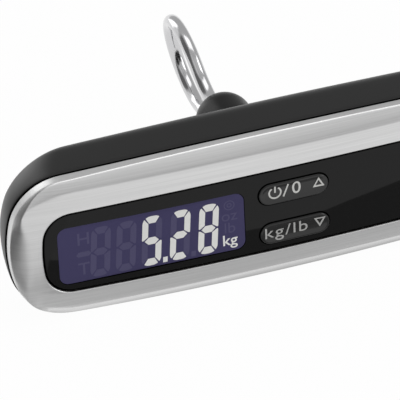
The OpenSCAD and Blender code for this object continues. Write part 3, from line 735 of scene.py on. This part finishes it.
def make_button(name, z, words, print_finish):
    """Press button with a soft edge, a dished face and a flange behind the panel, and its print."""
    rows = [
        (BUTTON_BACK_INSET, BUTTON_BACK_D), (-BUTTON_FLANGE_W, BUTTON_BACK_D),
        (-BUTTON_FLANGE_W, BUTTON_FLANGE_D), (0, BUTTON_FLANGE_D),
    ]
    rows += [(way, BUTTON_FACE_D + depth) for way, depth in SOFT_EDGE + DISH]
    bm = bmesh.new()
    loft(bm, [at_depth(inset(stadium(FACE_LEN, FACE_H), way), d) for way, d in rows])
    place = Matrix.Translation((BUTTON_X, 0, z))
    piece = put(name + "_cap", bm, name, BUTTON, 40, place)
    # Painted shade: the button's sides below the panel's recess get a dull black where they lie in the
    # gap
    shade(piece, lambda depth: depth > WINDOW_RECESS)
    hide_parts(name)
    print_bm = bmesh.new()
    for bit in words:
        join(print_bm, bit)
    for v in print_bm.verts:
        v.co.y += dish_depth(v.co.x, v.co.z)
    on_face = place @ Matrix.Translation((0, BUTTON_FACE_D - PRINT_LIFT, 0))
    put(name + "_print", print_bm, name, print_finish, 30, on_face)


def stroke(points, width, closed=False):
    """Flat line of a width along points, as a closed thin mesh."""
    mitre_limit = 0.4
    spots = [Vector(p) for p in points]
    count = len(spots)
    rings = []
    for i, p in enumerate(spots):
        back = spots[i - 1] if i or closed else p
        ahead = spots[(i + 1) % count] if i < count - 1 or closed else p
        u = (p - back).normalized() if (p - back).length else (ahead - p).normalized()
        v = (ahead - p).normalized() if (ahead - p).length else u
        n = Vector((-(u + v).y, (u + v).x)).normalized()
        reach = width / 2 / max(mitre_limit, n.dot(Vector((-u.y, u.x))))
        a, b = p + n * reach, p - n * reach
        rings.append([(a.x, STROKE_FRONT, a.y), (b.x, STROKE_FRONT, b.y),
                      (b.x, STROKE_BACK, b.y), (a.x, STROKE_BACK, a.y)])
    bm = bmesh.new()
    loft(bm, rings, joined=closed)
    return bm


def power_print():
    """Power sign, slash, zero and a triangle that points up."""
    x, z, r = -4.81, 0.3, 1.5
    turns = [math.radians(a) for a in range(32, 330, 8)]
    ring = [(x + r * math.sin(a), z + r * math.cos(a)) for a in turns]
    return [
        stroke(ring, SIGN_W),
        stroke([(x, 2.15), (x, z)], SIGN_W),
        stroke([(-2.7, -1.25), (-1.4, 2.1)], SIGN_W),
        lettering("0", 4.9, 0.7, 0.4, bold=0.03),
        stroke([(5.25, -0.4), (7.55, -0.4), (6.4, 1.7)], TRIANGLE_W, closed=True),
    ]


def set_print():
    """Two units and a triangle that points down."""
    return [
        lettering("kg/lb", 4.4, -2.35, 0.2, wide=1.22, space=1.12),
        stroke([(5.25, 1.5), (7.55, 1.5), (6.4, -0.6)], TRIANGLE_W, closed=True),
    ]


# Back of the grip

def shell_ring(amount, depth, share):
    """Ring of the shell at a depth, with its ends drawn in and a share of the bow."""
    way = max(0, depth - RIM_D) / (BACK_D - RIM_D)
    kept = lambda z: 1 - END_TAPER / HALF_LEN * way * way * (1 + END_ROUND * (z / HALF_H) ** 2)
    return [(kept(z) * x, depth + share * sag(x), z) for x, z in inset(PLATE, amount - SHELL_MARGIN)]


def make_rear_shell():
    """Black shell: lip inside the skirt, straight wall, rounded flanks and a flat back with its holes."""
    bend_inset = INNER_INSET + (FLOOR_INSET - INNER_INSET) * (1 - math.cos(INNER_BEND))
    bend_d = WALL_END_D + (FLOOR_D - WALL_END_D) * math.sin(INNER_BEND)
    rings = [
        shell_ring(FLOOR_INSET, FLOOR_D, 0), shell_ring(bend_inset, bend_d, INNER_BOW),
        shell_ring(INNER_INSET, WALL_END_D, 1), shell_ring(INNER_INSET, LIP_D, 1),
        shell_ring(LIP_INSET, LIP_D, 1), shell_ring(LIP_INSET, RIM_D, 1),
    ]
    for a in quarter(5):
        depth = RIM_D + EDGE_R * (1 - math.cos(a))
        rings.append(shell_ring(EDGE_R * (1 - math.sin(a)), depth, 1))
    rings += [shell_ring(0, RIM_D + (WALL_END_D - RIM_D) * i / 6, 1) for i in range(1, 6)]
    for a in quarter(18):
        depth = WALL_END_D + BACK_DEPTH * math.sin(a)
        rings.append(shell_ring(BACK_INSET * (1 - math.cos(a)), depth, math.cos(a) ** 2))
    bm = bmesh.new()
    loft(bm, rings)
    piece = put("rear_shell_skin", bm, "grip", SHELL, 35)
    inside, outside = FLOOR_D - CUT_PAST, BACK_D + CUT_PAST
    tools = [
        tool_rod(0, 0, inside, outside, NECK_HOLE_R),
        tool_rod(COIN_X, 0, inside, outside, DOOR_HOLE_R),
        tool_rod(COIN_X, 0, BACK_D - DOOR_RECESS_DEPTH, outside, DOOR_RECESS_R),
    ]
    for x in (-SCREW_X, SCREW_X):
        for z in (-SCREW_Z, SCREW_Z):
            tools.append(tool_rod(x, z, BACK_D - SCREW_HOLE_DEPTH, outside, SCREW_HOLE_R, 40))
    cut(piece, tools)
    dress(piece, SHELL, 35)
    # Painted shade: the shell's lip and rim get a dull black where they lie in the gap behind the skirt
    shade(piece, lambda depth: depth < RIM_D + SHELL_SEEN)
    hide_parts("rear_shell")


def make_neck_collar():
    """Collar on the back that the cap turns on, with its plug in the shell."""
    end_d = SWIVEL_D - COLLAR_GAP
    plug = [(STEM_HOLE_R, FLOOR_D), (PLUG_R, FLOOR_D), (PLUG_R, BACK_D)]
    outside = [
        (COLLAR_R, BACK_D), (COLLAR_R, BACK_D + COLLAR_EDGE_H),
        (COLLAR_WAIST_R, BACK_D + COLLAR_WAIST_H),
        (CAP_R + COLLAR_NECK_STEP, BACK_D + COLLAR_NECK_H),
        (CAP_R, SWIVEL_D - COLLAR_TOP_DROP), (CAP_R - COLLAR_TAPER, end_d),
    ]
    bm = turn(plug + rounded(outside, COLLAR_ROUND) + [(STEM_HOLE_R, end_d)])
    piece = put("neck_collar_turned", bm, "grip", CAP, 35)
    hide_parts("neck_collar")


def make_hook_cap():
    """Round cap at the root of the hook, with a bearing boss, a fine groove and the wire's bore."""
    boss_d, pocket_d = SWIVEL_D - BOSS_H, SWIVEL_D + CAP_POCKET_H
    groove = [SWIVEL_D + height for height in GROOVE_HEIGHTS]
    skirt = [
        (CAP_POCKET_R, boss_d), (BOSS_R, boss_d), (BOSS_R, SWIVEL_D), (CAP_R, SWIVEL_D),
        (CAP_R, groove[0]), (CAP_R - GROOVE_DEPTH, groove[1]),
        (CAP_R - GROOVE_DEPTH, groove[2]), (CAP_R, groove[3]), (CAP_R, CAP_D - EDGE_R),
    ]
    turns = [math.radians(a) for a in range(0, 76, 3)]
    dome = [(CAP_R * math.cos(a), CAP_D + CAP_R * math.sin(a)) for a in turns]
    inside = [(CAP_BORE_R, CAP_D + DOME_TOP), (CAP_BORE_R, pocket_d), (CAP_POCKET_R, pocket_d)]
    bm = turn(rounded(skirt, EDGE_R) + dome + inside)
    piece = put("hook_cap_turned", bm, "hook_assembly", CAP, 35)
    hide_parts("hook_cap")


def hook_path():
    """Middle line of the hook's wire as depth and height: shank, bend, bowl and outward curl."""
    sin, cos = lambda a: math.sin(math.radians(a)), lambda a: math.cos(math.radians(a))
    spread = lambda start, end, steps: [start + (end - start) * i / steps for i in range(steps + 1)]
    radii = BEND_R + BOWL_R
    bend = math.degrees(math.acos(BEND_R / math.hypot(radii, LINK)) - math.atan2(LINK, radii))
    bowl_d = BEND_D + radii * sin(bend) + LINK * cos(bend)
    tip_d, tip_z = bowl_d - BOWL_R * sin(TIP_TURN), -BOWL_R * cos(TIP_TURN)
    curl_d = tip_d - LINK * cos(TIP_TURN) - CURL_R * sin(TIP_TURN)
    curl_z = tip_z + LINK * sin(TIP_TURN) - CURL_R * cos(TIP_TURN)
    curl = spread(180 - TIP_TURN, 180 - TIP_TURN + CURL_TURN, 14)
    path = [(d, 0) for d in spread(WIRE_START_D, BEND_D, 10)[:-1]]
    path += [(BEND_D + BEND_R * sin(a), BEND_R * (1 - cos(a))) for a in spread(0, bend, 14)]
    path += [(bowl_d + BOWL_R * sin(a), -BOWL_R * cos(a)) for a in spread(180 + bend, -TIP_TURN, 72)]
    path += [(curl_d + CURL_R * sin(a), curl_z - CURL_R * cos(a)) for a in curl]
    return [Vector(p) for p in path]


def make_hook():
    """Chrome wire along the hook's path, with a ball at the tip."""
    path = hook_path()
    stations = []
    for before, at, after in zip(path[:1] + path, path, path[1:] + path[-1:]):
        stations.append((at.x, at.y, (after - before).normalized(), WIRE_R))
    d, z, h, _ = stations[-1]
    for angle in range(57, 180, 6):
        a = math.radians(angle)
        way = BALL_R * math.cos(a)
        stations.append((d - way * h.x, z - way * h.y, h, BALL_R * math.sin(a)))
    turns = [math.radians(360 * i / WIRE_SIDES) for i in range(WIRE_SIDES)]
    rings = []
    for d, z, h, r in stations:
        circle = [(r * math.cos(t), r * math.sin(t)) for t in turns]
        rings.append([(across, d - h.y * up, z + h.x * up) for across, up in circle])
    bm = bmesh.new()
    loft(bm, rings)
    turned = Matrix.Rotation(math.radians(HOOK_TURN), 4, "Y")
    piece = put("hook_wire", bm, "hook_assembly", CHROME, 60, turned)
    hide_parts("hook")


def make_battery_door():
    """Turning door with a coin slot and two index marks."""
    profile = [
        (DOOR_PLUG_R, FLOOR_D + DOOR_PLAY), (DOOR_PLUG_R, BACK_D - DOOR_T), (DOOR_R, BACK_D - DOOR_T),
        (DOOR_R, BACK_D), (DOOR_FACE_R, BACK_D),
    ]
    bm = turn(rounded(profile, EDGE_R) + [(DOOR_CENTRE_R, BACK_D)], COIN_X, 0, 128, joined=False)
    piece = put("battery_door_turned", bm, "battery_door", SHELL, 35)
    outside = BACK_D + CUT_PAST
    slot_low = (COIN_X - SLOT_HALF_LEN, BACK_D - SLOT_DEPTH, -SLOT_HALF_W)
    slot_high = (COIN_X + SLOT_HALF_LEN, outside, SLOT_HALF_W)
    tools = [tool_block(slot_low, slot_high)]
    for x in (COIN_X - DOOR_MARK_X, COIN_X + DOOR_MARK_X):
        tools.append(tool_rod(x, 0, BACK_D - DOOR_MARK_DEPTH, outside, DOOR_MARK_R, 32))
    cut(piece, tools)
    dress(piece, SHELL, 35)
    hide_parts("battery_door")


def dress_kept_nodes():
    """Finishes of the nodes that stay as they are packed."""
    kept = {
        "window_gasket": RUBBER, "inner_frame": INNER, "lcd_cell": DISPLAY, "backlight_panel": WHITE,
        "contact_strips": RUBBER, "power_switch": INNER, "set_switch": INNER, "circuit_board": BOARD,
        "controller_chip": INNER, "sensor_ribbon": FILM, "housing_screws": ZINC,
        "load_cell": ALUMINIUM, "load_cell_screws": ZINC, "strain_gauges": FILM, "stem_bush": WHITE,
        "thrust_washer": BRASS, "stem_nut": ZINC, "hook_stem": ZINC, "battery_tray": INNER,
        "coin_cell": ZINC, "positive_contact": BRASS, "negative_contact": BRASS, "door_seal": RUBBER,
    }
    for name, finish in kept.items():
        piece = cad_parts[name]
        piece.data.materials.clear()
        piece.data.materials.append(finish)


# Studio, with the camera's distance, the floor and the lamps in metres and the cards in millimetres

CAMERA_RIGHT, CAMERA_UP = (0.9446, -0.3253, -0.0422), (0.2131, 0.5108, 0.8328)
CAMERA_LENS, CAMERA_SENSOR, CAMERA_AWAY = 405, 36, 1.0906
AIM_FROM = (-0.5, -GRIP_MID, 0)
AIM_RIGHT_PX, AIM_UP_PX, PX_PER_MM = -81.2, 9.26, 4.126
FLOOR_REACH, FLOOR_TONE, FLOOR_GLOW = 4, (0.9, 0.9, 0.9, 1), 0.97
WHITE_LIGHT, SOFT_LIGHT = (1, 1, 1, 1), 0.55

# Cards on the floor lie a little above it, and a higher one covers a lower one
LOW = FLOOR / MM
NEAR_LIFT, UNDER_LIFT, FAN_LIFT, FRONT_LIFT = 0.2, 0.3, 0.4, 0.5
FRONT_EDGE = (
    (-54.8, -37.2), (-51.5, -36.2), (-41, -38.3), (-28, -36.9), (-15, -35.2), (-3, -33.6), (4, -33.3),
    (12, -33.6), (20, -34.4), (27, -35.9), (42, -38.3), (160, -56), (160, -19), (-60.5, -19),
)
NEAR_EDGE = ((-60.5, -19), (160, -19), (160, -11), (-62, -11))
UNDER_EDGE = ((-84, -28), (-57, -28), (-64, -8), (-69, -5), (-69, 4), (-76, 4))
BROW_Y, BROW_Z, BROW_STEP_Y, BROW_STEP_Z, BROW_TILT = -19.7, 23.6, 2.3, 3.3, 0.015
RIM_TILT, RIM_LEVEL_X = 0.003, -12

# Rings of the fan: near and far radius, and the first angle, last angle and light of each flag
FAN_HUB = (-67.5, -9)
FAN_RINGS = (
    (13, 20, ((-35, 15, 0.38), (15, 51, 0.41), (51, 80, 0.46), (80, 122, 0.52))),
    (20, 25.5, ((-35, 15, 0.27), (15, 38, 0.33), (38, 65, 0.45), (65, 97, 0.55), (97, 118, 0.6))),
    (25.5, 31, ((-35, 15, 0.2), (15, 28, 0.27), (28, 38, 0.34), (38, 65, 0.5), (65, 97, 0.7),
                (97, 115, 0.8))),
    (31, 140, ((-35, 15, 0.15), (15, 28, 0.23), (28, 38, 0.32), (38, 51, 0.44), (51, 65, 0.6),
               (65, 80, 0.76), (80, 97, 0.86), (97, 115, 0.92))),
)


def set_camera():
    """Long lens at the photograph's angle, aimed at the middle of its frame."""
    right, up = Vector(CAMERA_RIGHT), Vector(CAMERA_UP)
    back = right.cross(up).normalized()
    up = back.cross(right).normalized()
    aim = Vector(AIM_FROM) * MM + (up * AIM_UP_PX + right * AIM_RIGHT_PX) * (MM / PX_PER_MM)
    data = bpy.data.cameras.new("camera")
    data.lens, data.sensor_width, data.sensor_fit = CAMERA_LENS, CAMERA_SENSOR, "HORIZONTAL"
    data.clip_start, data.clip_end = 0.05, 50
    camera = add_object("camera", data)
    turn_to = Matrix((right.normalized(), up, back)).transposed().to_4x4()
    camera.matrix_world = Matrix.Translation(aim + back * CAMERA_AWAY) @ turn_to
    bpy.context.scene.camera = camera


def lamp(name, place, aim, wide, tall, power):
    """Oblong lamp at a place, turned to what it aims at."""
    data = bpy.data.lights.new(name, "AREA")
    data.shape, data.size, data.size_y = "RECTANGLE", wide, tall
    data.energy = power
    turn_to = (Vector(aim) - Vector(place)).to_track_quat("-Z", "Y").to_matrix().to_4x4()
    add_object(name, data).matrix_world = Matrix.Translation(place) @ turn_to


def seen_ray(tree):
    """One for rays from the camera, and for those by way of metal or glass."""
    kinds = ("Is Camera Ray", "Is Glossy Ray", "Is Transmission Ray")
    camera, glossy, through = [Wire.node(tree, "ShaderNodeLightPath", out=kind) for kind in kinds]
    return camera.maths("MAXIMUM", camera, glossy.maths("MAXIMUM", glossy, through))


def show(tree, surface, kind):
    """Sends a surface to the output of its tree."""
    tree.links.new(surface.socket, tree.nodes.new(kind).inputs["Surface"])


def white_glow(tree, kind, strength):
    """White light of a strength, as an emission or a background."""
    return Wire.node(tree, kind, None, {"Color": WHITE_LIGHT, "Strength": strength})


def stage_sheet(name, points):
    """Sheet of the studio, with an empty node tree for its look."""
    mesh = bpy.data.meshes.new(name)
    mesh.from_pydata(points, [], [tuple(range(len(points)))])
    sheet = add_object(name, mesh)
    material = bpy.data.materials.new(name)
    material.use_nodes = True
    material.node_tree.nodes.clear()
    mesh.materials.append(material)
    return sheet, material.node_tree


def set_floor():
    """Pale floor that shows white and keeps a soft shadow."""
    r = FLOOR_REACH
    _, tree = stage_sheet("floor_white", [(x, y, FLOOR) for x, y in ((-r, -r), (r, -r), (r, r), (-r, r))])
    matt = Wire.node(tree, "ShaderNodeBsdfDiffuse", None, {"Color": FLOOR_TONE})
    glow = white_glow(tree, "ShaderNodeEmission", 1.0)
    share = seen_ray(tree) * FLOOR_GLOW
    mix = Wire.node(tree, "ShaderNodeMixShader", None, {0: share, 1: matt, 2: glow})
    show(tree, mix, "ShaderNodeOutputMaterial")


def card(name, points, light):
    """Card that only the gloss of the object shows, as flags beside a camera do."""
    sheet, tree = stage_sheet(name, [tuple(v * MM for v in p) for p in points])
    show(tree, white_glow(tree, "ShaderNodeEmission", light), "ShaderNodeOutputMaterial")
    sheet.visible_camera = sheet.visible_diffuse = False
    sheet.visible_shadow = sheet.visible_transmission = False


def on_floor(points, lift):
    """Points given as x and y, a little above the floor."""
    return [(x, y, LOW + lift) for x, y in points]


def set_front_cards():
    """Cards on the floor before the grip and at its left foot, which its window and lower border show."""
    card("card_front", on_floor(FRONT_EDGE, FRONT_LIFT), 0.36)
    card("card_near", on_floor(NEAR_EDGE, NEAR_LIFT), 0.57)
    card("flag_under", on_floor(UNDER_EDGE, UNDER_LIFT), 0.55)
    for i, (start, end, light) in enumerate(((-66, -61.5, 0.6), (-61.5, -60, 0.72))):
        toe = ((start, -11), (end, -11), (end + 1, -3), (start + 1, -3))
        card(f"card_toe_{i}", on_floor(toe, NEAR_LIFT), light)


def brow_line(t):
    """Line along the grip, above and before its front, at a step up the brow cards."""
    y, z = BROW_Y + BROW_STEP_Y * t, BROW_Z + BROW_STEP_Z * t
    return [(x, y + sag(x), z + BROW_TILT * x) for x in range(-62, 102, 10)]


def rim_line(y):
    """Line along the grip on the floor under its front."""
    places = [(x, y + sag(x) - RIM_TILT * (x - RIM_LEVEL_X)) for x in range(-59, 102, 10)]
    return on_floor(places, NEAR_LIFT)


def set_bevel_cards():
    """Narrow cards along the grip: two for its upper bevel and four for its lower one."""
    brow = ((-2, 0.6, 0.5), (0.6, 3, 0.82))
    rim = ((-9, -8.75, 0.85), (-8.75, -8.45, 0.75), (-8.45, -8.2, 0.66), (-8.2, -4, 0.55))
    for i, (near, far, light) in enumerate(brow):
        card(f"card_brow_{i}", brow_line(near) + brow_line(far)[::-1], light)
    for i, (near, far, light) in enumerate(rim):
        card(f"card_rim_{i}", rim_line(near) + rim_line(far)[::-1], light)


def fan_point(angle, r):
    """Place on the floor at a radius from the fan's hub; the angle runs from the left to the front."""
    a = math.radians(angle)
    return (FAN_HUB[0] - r * math.cos(a), FAN_HUB[1] - r * math.sin(a), LOW + FAN_LIFT)


def set_fan():
    """Fan of flags on the floor about the left end of the grip, darker from its front to its left."""
    for ring, (near, far, flags) in enumerate(FAN_RINGS):
        for i, (start, end, light) in enumerate(flags):
            spots = ((start, near), (start, far), (end, far), (end, near))
            card(f"flag_floor_{ring}_{i}", [fan_point(a, r) for a, r in spots], light)
    foot_r = FAN_RINGS[0][0]
    card("flag_foot", [fan_point(a, foot_r) for a in range(-80, 101, 20)], 0.5)


def set_far_cards():
    """Upright cards: flags on the left, darker to the back, light ones behind and a grey one in front."""
    left_x, left_top, back_y, back_top, high_y = -208, 330, 320, 300, -480
    left = ((150, -80, 0.16), (-80, -115, 0.34), (-115, -170, 0.56), (-170, -260, 0.72),
            (-260, -420, 0.8))
    for i, (far, near, light) in enumerate(left):
        spots = ((near, LOW), (far, LOW), (far, left_top), (near, left_top))
        card(f"flag_left_{i}", [(left_x, y, z) for y, z in spots], light)
    for i, (near, far, light) in enumerate(((-70, -215, 1.9), (-215, -450, 0.9))):
        spots = ((near, LOW), (far, LOW), (far, back_top), (near, back_top))
        card(f"card_back_{i}", [(x, back_y, z) for x, z in spots], light)
    spots = ((-100, 200), (420, 200), (420, 540), (-100, 540))
    card("card_high", [(x, high_y, z) for x, z in spots], 0.68)


def set_world():
    """White for the camera and a soft grey light for the object."""
    world = bpy.data.worlds.new("studio")
    bpy.context.scene.world = world
    world.use_nodes = True
    tree = world.node_tree
    tree.nodes.clear()
    soft = white_glow(tree, "ShaderNodeBackground", SOFT_LIGHT)
    white = white_glow(tree, "ShaderNodeBackground", 1.0)
    camera_ray = Wire.node(tree, "ShaderNodeLightPath", out="Is Camera Ray")
    mix = Wire.node(tree, "ShaderNodeMixShader", None, {0: camera_ray, 1: soft, 2: white})
    show(tree, mix, "ShaderNodeOutputWorld")


def set_lights():
    """Large lamp above, and a smaller one at the right in front."""
    lamp("key", (0.3, -0.08, 1.0), (0.3, 0, 0), wide=1.1, tall=0.6, power=2.4)
    lamp("fill", (0.8, -0.6, 0.4), (0, 0, 0), wide=0.6, tall=0.6, power=2.5)


set_camera()
set_world()
set_floor()
set_front_cards()
set_bevel_cards()
set_fan()
set_far_cards()
set_lights()
make_front_plate()
make_window_panel()
make_display()
make_button("power_button", POWER_Z, power_print(), LEGEND)
make_button("set_button", SET_Z, set_print(), LEGEND_SHADED)
make_rear_shell()
make_neck_collar()
make_hook_cap()
make_hook()
make_battery_door()
dress_kept_nodes()

bpy.context.scene.view_settings.view_transform = "Standard"
